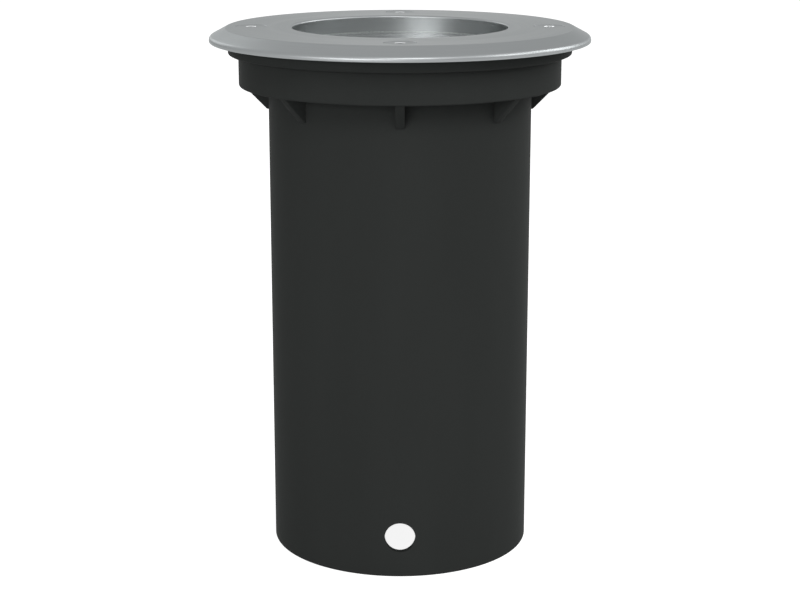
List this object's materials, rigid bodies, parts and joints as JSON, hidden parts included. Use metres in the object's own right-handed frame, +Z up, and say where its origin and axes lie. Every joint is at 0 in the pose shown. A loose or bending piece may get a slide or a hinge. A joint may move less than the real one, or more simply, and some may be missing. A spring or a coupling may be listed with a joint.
{
  "type": "in-ground uplighter",
  "caption": "Round in-ground uplighter: steel face ring with recessed glass on a lamp unit that drops into a long ribbed plastic ground sleeve with a cable hole.",
  "frame": {"origin": "centre of the ground sleeve's foot, on the bottom plane", "axes": "+Z up along the sleeve's axis towards the glass; the cable hole is at the front, on -Y; +X to the right seen from the front"},
  "size_m": [0.11, 0.11, 0.1544],
  "materials": {
    "sleeve_plastic": "moulded, satin charcoal black",
    "housing_plastic": "moulded, satin charcoal black",
    "face_steel": "fine brushed, polished edge",
    "screw_steel": "turned",
    "strip_steel": "zinc plated",
    "clear_glass": "clear, polished",
    "seal_rubber": "matt silicone",
    "brass": "turned",
    "plated_pins": "nickel plated",
    "lamp_shell": "die cast, powder coated white grey",
    "lamp_plastic": "moulded white",
    "lens_plastic": "moulded frosted lens",
    "light_board": "white solder mask",
    "light_chips": "phosphor",
    "driver_board": "green board",
    "ceramic": "unglazed steatite",
    "terminal_plastic": "moulded natural",
    "live_insulation": "brown silicone sleeve",
    "neutral_insulation": "blue silicone sleeve",
    "earth_insulation": "green and yellow silicone sleeve",
    "gland_plastic": "moulded black",
    "spun_aluminium": "spun and polished"
  },
  "bodies": {
    "ground": {"sleeve_barrel": "sleeve_plastic", "sleeve_collar": "sleeve_plastic", "sleeve_ribs": "sleeve_plastic"},
    "lamp_unit": {"lamp_housing": "housing_plastic", "thread_inserts": "brass", "flange_seal": "seal_rubber", "lampholder": "ceramic", "lampholder_contacts": "brass", "lampholder_screws": "screw_steel", "holder_bracket": "strip_steel", "bracket_screws": "screw_steel", "terminal_block": "terminal_plastic", "terminal_tubes": "brass", "terminal_screws": "screw_steel", "terminal_fixing_screws": "screw_steel", "live_lead": "live_insulation", "neutral_lead": "neutral_insulation", "earth_lead": "earth_insulation", "earth_lug": "plated_pins", "earth_screw": "screw_steel", "gland_body": "gland_plastic", "gland_washer": "seal_rubber", "gland_locknut": "gland_plastic", "gland_seal": "seal_rubber"},
    "face": {"face_ring": "face_steel", "cover_glass": "clear_glass", "glass_gasket": "seal_rubber", "reflector": "spun_aluminium"},
    "screw_front": {"face_screw_front": "screw_steel"},
    "screw_right": {"face_screw_right": "screw_steel"},
    "screw_back": {"face_screw_back": "screw_steel"},
    "screw_left": {"face_screw_left": "screw_steel"},
    "lamp": {"lamp_heat_sink": "lamp_shell", "lamp_base": "lamp_plastic", "lamp_pins": "plated_pins", "lamp_lens": "lens_plastic", "light_board": "light_board", "light_chips": "light_chips", "driver_board": "driver_board"},
    "nut": {"gland_nut": "gland_plastic"}
  },
  "joints": [
    {"name": "unit_lift", "type": "slide", "parent": "ground", "child": "lamp_unit", "axis": [0, 0, 1], "range_m": [0, 0.13]},
    {"name": "face_lift", "type": "slide", "parent": "lamp_unit", "child": "face", "axis": [0, 0, 1], "range_m": [0, 0.03]},
    {"name": "screw_front_lift", "type": "slide", "parent": "face", "child": "screw_front", "axis": [0, 0, 1], "range_m": [0, 0.012]},
    {"name": "screw_right_lift", "type": "slide", "parent": "face", "child": "screw_right", "axis": [0, 0, 1], "range_m": [0, 0.012]},
    {"name": "screw_back_lift", "type": "slide", "parent": "face", "child": "screw_back", "axis": [0, 0, 1], "range_m": [0, 0.012]},
    {"name": "screw_left_lift", "type": "slide", "parent": "face", "child": "screw_left", "axis": [0, 0, 1], "range_m": [0, 0.012]},
    {"name": "lamp_twist", "type": "hinge", "parent": "lamp_unit", "child": "lamp", "pos_m": [0, 0, 0.0907], "axis": [0, 0, 1], "range_deg": [0, 45]},
    {"name": "gland_nut_turn", "type": "hinge", "parent": "lamp_unit", "child": "nut", "pos_m": [0, 0, 0.04], "axis": [0, 0, 1], "range_deg": [-540, 0]}
  ]
}
